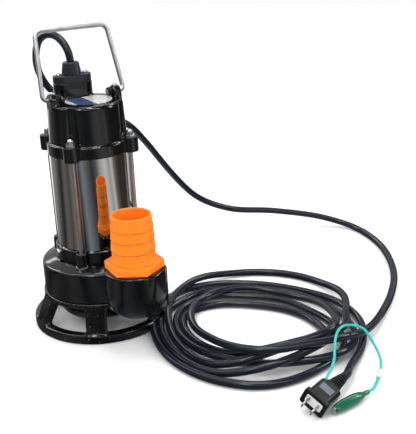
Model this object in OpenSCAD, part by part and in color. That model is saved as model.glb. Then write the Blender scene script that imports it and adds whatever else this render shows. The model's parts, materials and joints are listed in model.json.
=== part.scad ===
// Submersible sump pump with a 50 mm hose tail, a folding bail handle and a mains cord.
// The origin is on the floor under the shaft. +Z is up and the hose tail stands on the -Y side.

/* [Stand and volute] */
// Outer radius of the stand's foot ring
foot_r = 94; // [90:1:96]
// Height of the stand, up to the volute
stand_h = 48.3; // [46:0.1:49]
// Outer radius of the volute drum
volute_r = 76; // [75:0.5:77]

/* [Motor] */
// Outer radius of the polished motor shell
shell_r = 52; // [51.8:0.1:52.2]
// Height at which the motor shell starts
shell_z = 112.5; // [112:0.1:113]
// Outer radius of the top cover's band
band_r = 53.5; // [53.2:0.1:55]
// Height of the top cover's flat top
cover_z = 299.6; // [299:0.1:301]
// Radius of the circle that the tie rods stand on
rod_circle_r = 57; // [57:0.1:58]
// Tie rod diameter
rod_d = 5; // [4:0.5:5]

/* [Handle] */
// Handle rod diameter
handle_d = 6; // [5:0.5:6]
// Height of the handle above its pivot
handle_h = 85.5; // [70:0.5:100]
// Angle by which the raised handle leans back
handle_lean = 16.5; // [10:0.5:18]

/* [Discharge] */
// Distance of the hose tail from the shaft
hose_dist = 127.6; // [127:0.1:130]
// Bearing of the hose tail about the shaft
hose_bearing = -93; // [-94:0.5:-92]
// Outer radius of the hose tail's tip
hose_tip_r = 24.9; // [24:0.1:25]

/* [Cord] */
// Mains cord diameter
cord_d = 10; // [9:0.5:10]
// Earth lead diameter
lead_d = 3.2; // [2.4:0.2:3.6]

/* [Hidden] */
$fn = 96;
fine = 48;
leg_count = 6;
small = 32;
gap = 0.3;
eps = 0.01;

// Stand
foot_h = 12.2;
foot_w = 12.5;
stand_top_h = 7.3;
stand_top_r = 78;
stand_hole_r = 60;
leg_w = 28;
stand_screw_circle = 69;
stand_screws_at = [30, 150, 270];

// Volute and discharge
volute_top = 90.5;
shoulder_top = 95;
chamber_r = 68;
chamber_z = 54;
chamber_top = 84;
mouth_r = 46;
boss_r = 7;
out_offset = 53;
out_z = 70.5;
out_r = 22;
port_r = 17;
out_turn = hose_bearing - asin(out_offset / hose_dist);
out_len = sqrt(hose_dist * hose_dist - out_offset * out_offset);
flange_x = 78.6;
flange_t = 6.5;
flange_w = 77;
flange_h = 58;
flange_corner = 7;
flange_bolt_y = 32;
flange_bolt_z = 21;
flange_bolt_d = 5;
gasket_t = 1;
cup_r = 37.6;
cup_rim_z = 114.1;
cup_turn_z = 84;
cup_bottom_z = 48.7;
thread_r = 29.3;
hex_z = 115.1;
hex_h = 10;
hex_r = 36.8;
hex_turn = 28;
hose_top = 183.9;
hose_bore_r = 21.5;

// Motor
rim_r = 55.5;
shell_t = 1.5;
shell_top = 236;
groove_r = 48.1;
bearing_z = 112;
bearing_h = 14;
bearing_r = 23.5;
top_bearing_z = 226;
top_bearing_h = 10;
top_bearing_r = 16;
running = 0.02;
stack_z = 146;
stack_h = 60;
rotor_r = 27;
stator_in_r = 27.6;
stator_r = 50.4;

// Top cover
band_z = 234.3;
band_top = 250;
seat_z = 238;
cover_low_r = 50.5;
cover_top_r = 48.1;
cover_wall = 4.5;
lug_r = 10.3;
lug_top = 254;
flute_r = 9.7;
flute_at = 54.5;
rods_at = [45, 135, 225, 315];
gland_y = 36.5;
gland_half = 13;
gland_a = 13;
cable_r = 9;
neck_top = 318.5;
plate_top = 328;
clamp_at = 18.5;
boot_top = 344;

// Handle and its ears
pivot_z = 306;
ear_out = 48;
ear_in = 38;
ear_r = 9;
ear_z = 304.3;
screw_z = ear_z + ear_r - 0.5;
foot_half = 55.3;
top_half = 48;
bend = 9;
low_bend = 6;
leg_slope = atan((foot_half - top_half) / handle_h);
bar_half = top_half - bend / cos(leg_slope) + bend * tan(leg_slope);
pin_end = 30.5;

// Cord
coil_x = 138;
coil_y = -170;
coil_turn = 43.5;
coil_half = 16;
coil_out = 120;
coil_in = 66;
coil_h = 34;
coil_low_h = 26;
plug_at = [82, -364, 15.4];
plug_turn = 20;
plug_roll = 26;
plug_pin_y = 6.35;
clip_at = [100, -376, 6.5];
clip_turn = 6.4;
clip_pin_x = 20;

run_points = [
    [0, 36.5, 344], [-0.4, 37.6, 352.5], [-1.6, 41, 360.6], [-5.8, 52.8, 372.4], [-11.5, 69, 376.8],
    [-17.3, 85.3, 372.4], [-21.4, 96.8, 360.4], [-23, 101.3, 344], [-20.5, 105.2, 327],
    [-13, 108.5, 310], [-2, 110, 295], [20, 111, 280], [60, 112, 256], [109, 114, 230],
    [143, 124, 194], [163, 129, 168], [183, 131, 141], [204, 133, 115], [228, 136, 90],
    [256, 137, 70], [302, 133, 49], [370, 116, 36], [443, 84, 19], [476, 50, 8],
    [482, 24, 5], [478, -6, 5], [461, -58, 5], [424, -121, 5], [388, -164, 5],
    [335, -210, 5], [298, -235, 9], [272, -252, 15], [249, -266, 21], [227, -277, 27], [193, -280, 29]];
tail_points = [
    [248, -92, 5], [264, -109, 5], [276, -134, 5], [282, -160, 5], [281, -190, 5],
    [272, -222, 5], [256, -252, 5], [233, -277, 5], [208, -292, 5], [192, -302, 5.5],
    [181, -311.5, 7], [170.5, -321.5, 9], [160, -331, 12], [151, -338, 14.2], [142.1, -342.1, 15.4]];
lead_points = [
    [109.8, -349.7, 24], [117, -345, 28], [128, -338, 29], [143, -325, 31], [156, -310, 34],
    [167, -298, 37], [181, -286, 38], [194, -280, 38], [202, -282, 38], [209, -288, 37],
    [213, -296, 35], [215, -303, 29], [217, -310, 20], [218, -317, 11], [216, -324, 4],
    [209, -332, 2.5], [202, -339, 3.1], [186, -352, 3.1], [177, -358, 2.5], [167, -366, 4],
    [155.7, -369.8, 6.5]];

// ---- helpers ----

function unit(v) = v / norm(v);
function between(a, b, c, d, t) =
    0.5 * (2 * b + (c - a) * t + (2 * a - 5 * b + 4 * c - d) * t * t
        + (3 * b - a - 3 * c + d) * t * t * t);
// A smooth path through the points, with steps pieces between each two
function smooth(p, steps) = concat(
    [for (i = [0 : len(p) - 2]) for (k = [0 : steps - 1])
        between(p[max(i - 1, 0)], p[i], p[i + 1], p[min(i + 2, len(p) - 1)], k / steps)],
    [p[len(p) - 1]]);
function tangents(p) = [for (i = [0 : len(p) - 1])
    unit(p[min(i + 1, len(p) - 1)] - p[max(i - 1, 0)])];
// One side direction a ring, carried along the path without twist
function sides_of(t, u = [0, 1, 0], i = 0) =
    i == len(t) ? [] : let (v = unit(u - (u * t[i]) * t[i])) concat([v], sides_of(t, v, i + 1));

module tube(path, r, sides) {
    t = tangents(path);
    u = sides_of(t);
    n = len(path);
    ring = [for (k = [0 : sides - 1]) 360 * k / sides];
    points = [for (i = [0 : n - 1]) for (a = ring)
        path[i] + r * (cos(a) * u[i] + sin(a) * cross(t[i], u[i]))];
    walls = [for (i = [0 : n - 2]) for (k = [0 : sides - 1])
        let (m = (k + 1) % sides, a = i * sides, b = a + sides) [a + k, b + k, b + m, a + m]];
    start = [for (k = [0 : sides - 1]) k];
    end = [for (k = [0 : sides - 1]) n * sides - 1 - k];
    polyhedron(points, concat(walls, [start, end]), convexity = 8);
}

module ring(r_out, r_in, z, h) {
    difference() {
        translate([0, 0, z]) cylinder(r = r_out, h = h);
        translate([0, 0, z - 1]) cylinder(r = r_in, h = h + 2);
    }
}

module rounded_2d(w, h, r) {
    square([w - 2 * r, h], center = true);
    square([w, h - 2 * r], center = true);
    for (x = [-1, 1], y = [-1, 1]) {
        translate([x * (w / 2 - r), y * (h / 2 - r)]) circle(r = r, $fn = fine);
    }
}

module obround_2d(half, r, facets = fine) {
    square([2 * half, 2 * r], center = true);
    for (x = [-1, 1]) translate([x * half, 0]) circle(r = r, $fn = facets);
}

// Places its children at each tie rod
module at_rods() {
    for (a = rods_at) rotate([0, 0, a]) translate([rod_circle_r, 0, 0]) children();
}

// Local +X runs out along the discharge pipe, and local y = out_offset is its centre line
module at_outlet() {
    rotate([0, 0, out_turn]) children();
}

module at_hose() {
    rotate([0, 0, hose_bearing]) translate([hose_dist, 0, 0]) rotate([0, 0, -hose_bearing])
        children();
}

// A screw that points down, with its head's underside at z = 0
module hex_screw(d, len, across, head_h) {
    translate([0, 0, -len]) cylinder(d = d, h = len + eps, $fn = small);
    cylinder(d = across / cos(30), h = head_h, $fn = 6);
}

module pan_screw(d, len, head_d, head_h) {
    translate([0, 0, -len]) cylinder(d = d, h = len + eps, $fn = small);
    difference() {
        rotate_extrude($fn = small) polygon([
            [0, 0], [head_d / 2, 0], [head_d / 2, head_h * 0.45], [head_d * 0.42, head_h * 0.8],
            [head_d * 0.25, head_h], [0, head_h]]);
        for (a = [0, 90]) rotate([0, 0, a]) translate([0, 0, head_h])
            cube([head_d * 0.55, head_d * 0.14, head_h], center = true);
    }
}

// ---- stand and wet end ----

module stand() {
    color([0.05, 0.05, 0.06]) difference() {
        union() {
            rotate_extrude() polygon([
                [foot_r - foot_w, 0], [foot_r, 0], [foot_r, foot_h - 2], [foot_r - 2, foot_h],
                [foot_r - foot_w + 1, foot_h], [foot_r - foot_w, foot_h - 1]]);
            rotate_extrude() polygon([
                [stand_hole_r, stand_h - stand_top_h], [stand_top_r - 1, stand_h - stand_top_h],
                [stand_top_r, stand_h - stand_top_h + 1], [stand_top_r, stand_h],
                [stand_hole_r, stand_h]]);
            for (i = [0 : leg_count - 1]) rotate([90, 0, i * 360 / leg_count])
                translate([0, 0, -leg_w / 2]) linear_extrude(leg_w) polygon([
                    [65, stand_h - 5], [77, stand_h - 2], [foot_r - 1.5, foot_h - 1.5],
                    [foot_r - foot_w + 1, foot_h - 1.5]]);
        }
        for (a = stand_screws_at) rotate([0, 0, a])
            translate([stand_screw_circle, 0, stand_h - 20]) cylinder(r = 3.3, h = 30, $fn = small);
        // relief for the discharge flange
        at_outlet() translate([flange_x - flange_t - gap, out_offset - flange_w / 2 - gap,
            stand_h - stand_top_h - 1]) cube([20, 30, stand_top_h + 2]);
    }
}

module stand_screws() {
    color("silver") for (a = stand_screws_at) rotate([0, 0, a])
        translate([stand_screw_circle, 0, stand_h - stand_top_h]) mirror([0, 0, 1])
            hex_screw(6, 11, 10, 4);
}

module suction_cover() {
    color([0.05, 0.05, 0.06]) rotate_extrude() polygon([
        [26, 11], [40, 11], [50, 13.5], [56, 19], [58.8, 27], [59.4, 36], [59.7, stand_h],
        [63.5, stand_h], [63.5, stand_h + 4.5], [54, stand_h + 4.5], [53.6, 36], [52.5, 28],
        [50, 23], [44, 18.5], [34, 17], [26, 17]]);
}

module outlet_flange(x) {
    translate([x, out_offset, out_z]) rotate([90, 0, 90]) linear_extrude(flange_t)
        rounded_2d(flange_w, flange_h, flange_corner);
}

module flange_holes(x, len, r) {
    for (y = [-1, 1], z = [-1, 1])
        translate([x, out_offset + y * flange_bolt_y, out_z + z * flange_bolt_z])
            rotate([0, 90, 0]) cylinder(r = r, h = len, $fn = small);
}

module volute_casing() {
    color([0.04, 0.04, 0.05]) difference() {
        union() {
            rotate_extrude() polygon([
                [0, stand_h], [volute_r - 1, stand_h], [volute_r, stand_h + 1],
                [volute_r, volute_top - 4], [volute_r - 1.2, volute_top - 1.3],
                [volute_r - 4, volute_top], [62, shoulder_top - 1.2], [58, shoulder_top],
                [0, shoulder_top]]);
            at_rods() translate([0, 0, volute_top - 3]) cylinder(r = boss_r, h = 24.5, $fn = fine);
            at_outlet() {
                translate([20, out_offset, out_z]) rotate([0, 90, 0])
                    cylinder(r = out_r, h = flange_x - 22);
                outlet_flange(flange_x - flange_t);
            }
        }
        // chamber, bracket mouth and suction cover seat
        translate([0, 0, chamber_z]) cylinder(r = chamber_r, h = chamber_top - chamber_z);
        translate([0, 0, chamber_top - 1]) cylinder(r = mouth_r, h = 20);
        translate([0, 0, stand_h - 1]) cylinder(r = 55, h = 8);
        translate([0, 0, stand_h - 1]) cylinder(r = 63.8, h = 5.5);
        at_outlet() {
            translate([36, out_offset, out_z]) rotate([0, 90, 0]) cylinder(r = port_r, h = 60);
            flange_holes(flange_x - 7, 8, flange_bolt_d / 2);
        }
        at_rods() translate([0, 0, 97]) cylinder(d = rod_d, h = 20, $fn = small);
        for (a = stand_screws_at) rotate([0, 0, a])
            translate([stand_screw_circle, 0, stand_h - 1]) cylinder(r = 3, h = 5.6, $fn = small);
    }
}

module impeller() {
    color([0.35, 0.36, 0.37]) difference() {
        union() {
            translate([0, 0, 77]) cylinder(r = 50, h = 4);
            translate([0, 0, 62.5]) cylinder(r = 14, h = 21.5);
            for (i = [0 : 5]) rotate([0, 0, i * 60]) translate([11, -2, 60])
                rotate([0, 0, -14]) cube([37, 4.5, 18]);
        }
        translate([0, 0, 50]) cylinder(r = 6, h = 40, $fn = fine);
        translate([5, -2, 62]) cube([3, 4, 23]);
    }
}

module impeller_nut() {
    color("silver") difference() {
        translate([0, 0, 56.5]) cylinder(r = 9.2, h = 5.9, $fn = 6);
        translate([0, 0, 56]) cylinder(r = 5, h = 8, $fn = fine);
    }
}

module impeller_key() {
    color("silver") translate([4.5, -2, 63]) cube([3, 4, 18]);
}

module mechanical_seal_ring() {
    color([0.2, 0.2, 0.22]) ring(13, 8, 84, 7.7);
}

module mechanical_seal_seat() {
    color([0.85, 0.84, 0.8]) ring(14, 8.5, 92, 6);
}

module oil_seal() {
    color([0.25, 0.12, 0.08]) ring(15, 8.05, 106, 6);
}

module bearing_bracket() {
    color([0.04, 0.04, 0.05]) difference() {
        union() {
            translate([0, 0, chamber_top]) cylinder(r = mouth_r - 0.2, h = 12);
            rotate_extrude() polygon([
                [0, shoulder_top], [rim_r - 0.5, shoulder_top], [rim_r, shoulder_top + 1],
                [rim_r, shell_z - 1.5], [rim_r - 1, shell_z], [0, shell_z]]);
            translate([0, 0, shell_z - 1]) cylinder(r = shell_r - shell_t - 0.15, h = 6.5);
            translate([0, 0, shell_z - 1]) cylinder(r = 29, h = 14.5);
        }
        at_rods() translate([0, 0, 90]) cylinder(r = boss_r + 1, h = 22.6, $fn = fine);
        translate([0, 0, chamber_top - 1]) cylinder(r = 20, h = 9);
        translate([0, 0, chamber_top]) cylinder(r = 14, h = 14, $fn = fine);
        translate([0, 0, 98]) cylinder(r = 36, h = 8);
        translate([0, 0, 98]) cylinder(r = 9.2, h = 20, $fn = fine);
        translate([0, 0, 106]) cylinder(r = 15, h = 6, $fn = fine);
        translate([0, 0, bearing_z]) cylinder(r = bearing_r, h = 20);
        ring(shell_r, groove_r, shell_z + 1.4, 2.4);
        rotate([0, 0, 180]) translate([30, 0, 103.5]) rotate([0, 90, 0])
            cylinder(r = 4, h = 40, $fn = small);
    }
}

module oil_plug() {
    color("silver") rotate([0, 0, 180]) translate([rim_r, 0, 103.5]) rotate([0, 90, 0])
        hex_screw(8, 12, 10, 3.5);
}

// A deep groove ball bearing: two races with the balls between them
module ball_bearing(r_out, r_in, z, h, balls) {
    mid = (r_out + r_in) / 2;
    ball_r = (r_out - r_in) * 0.24;
    difference() {
        ring(r_out, r_in, z, h);
        ring(mid + ball_r * 0.62, mid - ball_r * 0.62, z - 1, h + 2);
        translate([0, 0, z + h / 2]) rotate_extrude() translate([mid, 0])
            circle(r = ball_r + 0.05, $fn = small);
    }
    for (i = [0 : balls - 1]) rotate([0, 0, i * 360 / balls]) translate([mid, 0, z + h / 2])
        sphere(r = ball_r, $fn = small);
}

module lower_bearing() {
    color("silver") ball_bearing(bearing_r, 8.5 + running, bearing_z, bearing_h, 8);
}

module upper_bearing() {
    color("silver") ball_bearing(top_bearing_r, 6 + running, top_bearing_z, top_bearing_h, 8);
}

module upper_bearing_bracket() {
    color([0.6, 0.6, 0.6]) difference() {
        union() {
            translate([0, 0, shell_top]) cylinder(r = shell_r, h = seat_z - shell_top);
            translate([0, 0, 230]) cylinder(r = shell_r - shell_t - 0.15, h = 6.5);
            translate([0, 0, 223]) cylinder(r = 22, h = 15);
        }
        translate([0, 0, top_bearing_z]) cylinder(r = top_bearing_r, h = 10);
        ring(shell_r - 1, groove_r, shell_top - 3.8, 2.4);
        translate([0, 0, 220]) cylinder(r = 10, h = 20, $fn = fine);
        for (a = [0 : 60 : 300]) rotate([0, 0, a]) translate([35, 0, 228])
            cylinder(r = 6.5, h = 12, $fn = small);
    }
}

// ---- motor ----

module shaft() {
    color("silver") difference() {
        rotate_extrude() polygon([
            [0, 55.5], [4.5, 55.5], [5, 56], [5, 62.4], [6, 62.4], [6, 84], [8, 84], [8, bearing_z],
            [8.5, bearing_z], [8.5, bearing_z + bearing_h + gap], [10, bearing_z + bearing_h + gap],
            [10, 212], [9, 212], [9, top_bearing_z - gap], [6, top_bearing_z - gap],
            [6, 235.5], [5.5, 236], [0, 236]]);
        translate([4.5, -2, 63]) cube([4, 4, 18]);
    }
}

module rotor() {
    color([0.5, 0.48, 0.45]) {
        ring(rotor_r, 10, stack_z, stack_h);
        ring(rotor_r - 1, 15, stack_z - 6, 6);
        ring(rotor_r - 1, 15, stack_z + stack_h, 6);
    }
}

module stator_core() {
    color([0.4, 0.42, 0.45]) difference() {
        ring(stator_r, stator_in_r, stack_z, stack_h);
        for (i = [0 : 23]) rotate([0, 0, i * 15]) translate([37, 0, stack_z - 1])
            cylinder(r = 3.2, h = stack_h + 2, $fn = small);
    }
}

module stator_windings() {
    color([0.7, 0.35, 0.12]) {
        for (z = [stack_z - 14, stack_z + stack_h]) rotate_extrude() polygon([
            [31, z], [44, z], [46, z + 2], [46, z + 12], [44, z + 14], [31, z + 14],
            [30, z + 12], [30, z + 2]]);
        for (i = [0 : 23]) rotate([0, 0, i * 15]) translate([37, 0, stack_z - eps])
            cylinder(r = 3, h = stack_h + 2 * eps, $fn = small);
    }
}

module motor_shell() {
    color([0.8, 0.8, 0.82]) ring(shell_r, shell_r - shell_t, shell_z, shell_top - shell_z);
}

module shell_o_rings() {
    color([0.1, 0.1, 0.1]) for (z = [shell_z + 2.6, shell_top - 2.6]) translate([0, 0, z])
        rotate_extrude() translate([shell_r - shell_t - 1.2, 0]) circle(r = 1.2, $fn = small);
}

// ---- top cover ----

module ear() {
    translate([ear_in, 0, 0]) rotate([90, 0, 90]) linear_extrude(ear_out - ear_in) {
        translate([0, ear_z]) circle(r = ear_r, $fn = fine);
        translate([-ear_r, cover_z - 6]) square([2 * ear_r, ear_z - cover_z + 6]);
    }
}

module top_cover() {
    color([0.04, 0.04, 0.05]) difference() {
        union() {
            rotate_extrude() polygon([
                [0, band_z], [band_r - 0.5, band_z], [band_r, band_z + 0.8],
                [band_r, band_top - 1], [band_r - 1, band_top], [cover_low_r, band_top],
                [cover_top_r, cover_z - 4], [cover_top_r - 1, cover_z - 1.4],
                [cover_top_r - 3.5, cover_z], [0, cover_z]]);
            for (a = rods_at) rotate([0, 0, a]) {
                translate([rod_circle_r, 0, band_z])
                    cylinder(r = lug_r, h = lug_top - band_z, $fn = fine);
                translate([44, -lug_r, band_z]) cube([rod_circle_r - 44, 2 * lug_r, lug_top - band_z]);
            }
            intersection() {
                translate([0, gland_y, cover_z - 10]) linear_extrude(neck_top - cover_z + 10)
                    obround_2d(gland_half, gland_a);
                cylinder(r = cover_top_r + 1.5, h = neck_top + 1);
            }
            for (s = [0, 180]) rotate([0, 0, s]) ear();
        }
        // cavity, shell seat and spanner flutes
        translate([0, 0, seat_z - 1]) cylinder(r = 42, h = cover_z - cover_wall - 2 - seat_z);
        translate([0, 0, band_z - 1]) cylinder(r = shell_r + 0.1, h = seat_z - band_z + 1);
        for (a = rods_at) rotate([0, 0, a]) {
            translate([flute_at, 0, lug_top]) cylinder(r = flute_r, h = 60, $fn = fine);
            translate([rod_circle_r, 0, band_z - 1]) cylinder(r = 2.75, h = 40, $fn = small);
        }
        translate([0, gland_y, 286]) cylinder(r = cable_r, h = 60, $fn = fine);
        for (x = [-1, 1]) translate([x * clamp_at, gland_y, neck_top - 8])
            cylinder(r = 2, h = 10, $fn = small);
        for (s = [0, 180]) rotate([0, 0, s]) {
            translate([ear_in - 1, 0, pivot_z]) rotate([0, 90, 0])
                cylinder(d = handle_d + 0.12, h = 20, $fn = fine);
            translate([(ear_in + ear_out) / 2, 0, pivot_z]) cylinder(r = 2, h = 20, $fn = small);
            translate([(ear_in + ear_out) / 2, 0, screw_z]) cylinder(r = 4.3, h = 9, $fn = small);
        }
    }
}

module tie_rods() {
    color("silver") at_rods() translate([0, 0, 98]) cylinder(d = rod_d, h = 161, $fn = small);
}

module tie_rod_washers() {
    color("silver") at_rods() translate([0, 0, lug_top]) difference() {
        cylinder(r = 5.6, h = 1.2, $fn = small);
        translate([0, 0, -1]) cylinder(r = 2.7, h = 4, $fn = small);
    }
}

module tie_rod_nuts() {
    color("silver") at_rods() translate([0, 0, lug_top + 1.2]) difference() {
        union() {
            cylinder(r = 4.62, h = 4.2, $fn = 6);
            translate([0, 0, 4]) rotate_extrude($fn = small) intersection() {
                translate([0, 0.5]) circle(r = 3.9, $fn = small);
                translate([0, -0.5]) square([5, 6]);
            }
        }
        translate([0, 0, -1]) cylinder(d = rod_d, h = 6, $fn = small);
    }
}

module capacitor() {
    color([0.75, 0.75, 0.78]) translate([0, -14, seat_z]) {
        cylinder(r = 19, h = 44);
        for (x = [-6, 6]) translate([x, 0, 43]) cylinder(r = 2, h = 5, $fn = small);
    }
}

module thermal_protector() {
    color([0.15, 0.15, 0.16]) translate([26, 14, seat_z]) {
        cylinder(r = 8, h = 12, $fn = small);
        translate([0, 0, 11]) cylinder(r = 5, h = 4, $fn = small);
    }
}

module nameplate() {
    color([0.85, 0.86, 0.88]) translate([4, -3, cover_z]) difference() {
        cylinder(r = 30, h = 0.5);
        translate([-40, 21.5, -1]) cube([80, 30, 3]);
    }
}

module cable_bushing() {
    color([0.1, 0.1, 0.1]) translate([0, gland_y, 297])
        cylinder(r = cable_r, h = neck_top - 297, $fn = fine);
}

module clamp_plate() {
    color([0.13, 0.14, 0.17]) translate([0, gland_y, neck_top]) difference() {
        intersection() {
            linear_extrude(plate_top - neck_top) obround_2d(gland_half, gland_a - 0.4);
            translate([0, -gland_y, -1]) cylinder(r = cover_top_r + 1.2, h = 20);
        }
        for (x = [-1, 1]) translate([x * clamp_at, 0, -1]) cylinder(r = 2.2, h = 20, $fn = small);
    }
}

module clamp_screws() {
    color("silver") for (x = [-1, 1]) translate([x * clamp_at, gland_y, plate_top])
        pan_screw(4, 16, 8, 3);
}

module cable_boot() {
    color([0.13, 0.14, 0.17]) translate([0, gland_y, 0]) rotate_extrude($fn = fine) polygon([
        [0, plate_top], [13, plate_top], [12.8, plate_top + 2], [10.6, boot_top - 1],
        [9.8, boot_top], [0, boot_top]]);
}

// ---- handle ----

// A quarter-like bend in the XZ plane, from angle a through sweep degrees
module bend_in_plane(r, a, sweep) {
    rotate([90, 0, 0]) rotate([0, 0, a]) rotate_extrude(angle = sweep)
        translate([r, 0]) circle(d = handle_d, $fn = fine);
}

// A rolled bead where a straight length runs into a bend
module bead(at, turn) {
    translate(at) rotate([0, turn, 0])
        cylinder(d = handle_d + 0.08, h = 1.2, center = true, $fn = fine);
}

// One half of the handle in its own plane, with the pivot at the origin
module handle_half() {
    low_c = [foot_half - low_bend / cos(leg_slope) - low_bend * tan(leg_slope), 0, low_bend];
    low_end = low_c + low_bend * [cos(leg_slope), 0, sin(leg_slope)];
    top_c = [bar_half, 0, handle_h - bend];
    top_end = top_c + bend * [cos(leg_slope), 0, sin(leg_slope)];
    translate([pin_end, 0, 0]) rotate([0, 90, 0])
        cylinder(d = handle_d, h = low_c[0] - pin_end, $fn = fine);
    translate(low_c) bend_in_plane(low_bend, -90, 90 + leg_slope);
    translate(low_end) rotate([0, -leg_slope, 0])
        cylinder(d = handle_d, h = norm(top_end - low_end), $fn = fine);
    translate(top_c) bend_in_plane(bend, leg_slope, 90 - leg_slope);
    bead([low_c[0], 0, 0], 90);
    bead(low_end, -leg_slope);
    bead(top_end, -leg_slope);
    bead([bar_half, 0, handle_h], 90);
}

module handle() {
    color([0.8, 0.8, 0.82]) translate([0, 0, pivot_z]) rotate([-handle_lean, 0, 0]) {
        handle_half();
        mirror([1, 0, 0]) handle_half();
        translate([-bar_half, 0, handle_h]) rotate([0, 90, 0])
            cylinder(d = handle_d, h = 2 * bar_half, $fn = fine);
    }
}

module handle_nuts() {
    color([0.06, 0.06, 0.07]) for (s = [0, 180]) rotate([0, 0, s])
        translate([pin_end + 1.5, 0, pivot_z]) rotate([0, 90, 0]) difference() {
            cylinder(r = 5.7, h = ear_in - gap - pin_end - 1.5, $fn = 6);
            translate([0, 0, -1]) cylinder(d = handle_d, h = 20, $fn = fine);
        }
}

module handle_set_screws() {
    color("silver") for (s = [-1, 1])
        translate([s * (ear_in + ear_out) / 2, 0, screw_z]) pan_screw(4, 3.5, 8, 3);
}

// ---- discharge ----

module discharge_elbow() {
    steps = 12;
    bowl = [for (i = [0 : steps]) let (a = 90 * i / steps)
        [cup_r * sin(a), cup_turn_z - (cup_turn_z - cup_bottom_z) * cos(a)]];
    x0 = flange_x + gasket_t;
    color([0.04, 0.04, 0.05]) difference() {
        union() {
            at_hose() rotate_extrude() polygon(concat(bowl, [
                [cup_r, cup_rim_z - 1], [cup_r - 1, cup_rim_z], [0, cup_rim_z]]));
            at_outlet() {
                outlet_flange(x0);
                translate([x0 + 1, out_offset, out_z]) rotate([0, 90, 0])
                    cylinder(r = out_r, h = out_len - x0 - 1);
            }
        }
        at_hose() {
            translate([0, 0, 57]) cylinder(r = 22, h = 60);
            translate([0, 0, 97]) cylinder(r = thread_r, h = 30);
        }
        at_outlet() {
            translate([x0 - 1, out_offset, out_z]) rotate([0, 90, 0])
                cylinder(r = port_r, h = out_len - x0 + 1);
            flange_holes(x0 - 1, flange_t + 2, flange_bolt_d / 2 + 0.25);
            translate([x0 - 20, out_offset - 50, 0]) cube([20, 100, 150]);
        }
    }
}

module elbow_gasket() {
    color([0.1, 0.1, 0.1]) at_outlet() difference() {
        translate([flange_x, out_offset, out_z]) rotate([90, 0, 90]) linear_extrude(gasket_t)
            rounded_2d(flange_w, flange_h, flange_corner);
        translate([flange_x - 1, out_offset, out_z]) rotate([0, 90, 0]) cylinder(r = port_r, h = 4);
        flange_holes(flange_x - 1, 4, flange_bolt_d / 2 + 0.25);
    }
}

module elbow_bolts() {
    color("silver") at_outlet() for (y = [-1, 1], z = [-1, 1])
        translate([flange_x + gasket_t + flange_t, out_offset + y * flange_bolt_y,
            out_z + z * flange_bolt_z]) rotate([0, 90, 0])
                hex_screw(flange_bolt_d, 14, 8, 3.5);
}

module hose_adapter() {
    color([1, 0.45, 0.08]) at_hose() difference() {
        union() {
            translate([0, 0, hex_z]) rotate([0, 0, hex_turn]) cylinder(r = hex_r, h = hex_h, $fn = 6);
            rotate_extrude() polygon([
                [0, 98], [thread_r - 1, 98], [thread_r, 99.5], [thread_r, hex_z + 1], [29.5, hex_z + 1],
                [29.5, 126], [27.3, 131], [26.6, 131], [26.6, 140], [27.4, 140.6], [26, 154],
                [26.8, 154.8], [25.5, 167], [26.2, 167.8], [hose_tip_r, 175.4],
                [hose_tip_r, hose_top - 0.5], [hose_tip_r - 0.5, hose_top], [0, hose_top]]);
        }
        translate([0, 0, 90]) cylinder(r = hose_bore_r, h = 100);
    }
}

module adapter_gasket() {
    color([0.35, 0.06, 0.03]) at_hose() ring(33, thread_r, cup_rim_z, hex_z - cup_rim_z);
}

// ---- cord, plug and earth lead ----

module cord_run() {
    color([0.07, 0.08, 0.1]) tube(smooth(run_points, 1), cord_d / 2, 10);
}

module oval_ring(r_out, r_in, h) {
    linear_extrude(h) difference() {
        obround_2d(coil_half, r_out, 96);
        obround_2d(coil_half, r_in, 96);
    }
}

module cord_coil() {
    color([0.07, 0.08, 0.1]) translate([coil_x, coil_y, 0]) rotate([0, 0, coil_turn]) {
        oval_ring(coil_out, coil_in, coil_low_h);
        oval_ring(coil_out - 10, coil_in + 10, coil_h);
    }
}

module cord_tail() {
    color([0.07, 0.08, 0.1]) tube(smooth(tail_points, 1), cord_d / 2, 10);
}

// Local -X is the way the blades point, and +X is the way the cord leaves
module at_plug() {
    translate(plug_at) rotate([0, 0, plug_turn]) rotate([plug_roll, 0, 0]) children();
}

module plug_body() {
    color([0.05, 0.05, 0.05]) at_plug() difference() {
        union() {
            rotate([90, 0, 90]) linear_extrude(6) rounded_2d(31, 21, 3);
            translate([5.9, 0, 0]) rotate([90, 0, 90]) linear_extrude(28) rounded_2d(27, 18, 5);
            translate([33.8, 0, 0]) rotate([90, 0, 90]) linear_extrude(4) rounded_2d(22, 17, 7);
        }
        translate([-1, 0, 0]) rotate([90, 0, 90]) linear_extrude(4) rounded_2d(21.5, 12, 2);
    }
}

module plug_face() {
    color([0.92, 0.92, 0.9]) at_plug() difference() {
        translate([0.8, 0, 0]) rotate([90, 0, 90]) linear_extrude(2.2) rounded_2d(21.5, 12, 2);
        for (y = [-plug_pin_y, plug_pin_y]) translate([1, y, 0]) cube([6, 1.5, 6.3], center = true);
    }
}

module plug_blades() {
    color("silver") at_plug() for (y = [-plug_pin_y, plug_pin_y]) translate([-13.5, y, 0]) difference() {
        translate([8.25, 0, 0]) cube([16.5, 1.5, 6.3], center = true);
        translate([3.5, -2, 0]) rotate([-90, 0, 0]) cylinder(r = 1.5, h = 4, $fn = small);
    }
}

module plug_strain_relief() {
    color([0.05, 0.05, 0.05]) at_plug() translate([37.8, 0, 0]) rotate([0, 90, 0])
        rotate_extrude($fn = small) polygon(concat(
            [[0, 0]],
            [for (i = [0 : 5]) for (k = [0, 1]) [9 - i * 0.55 - k * 1.2, i * 4.4 + k * 2.2]],
            [[5.4, 26.2], [0, 26.2]]));
}

module plug_label() {
    color([0.45, 0.48, 0.55]) at_plug() translate([16.5, -8, 9]) cube([10.5, 16, 0.4]);
}

module earth_lead() {
    color([0.2, 0.85, 0.75]) tube(smooth(lead_points, 1), lead_d / 2, 8);
}

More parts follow.
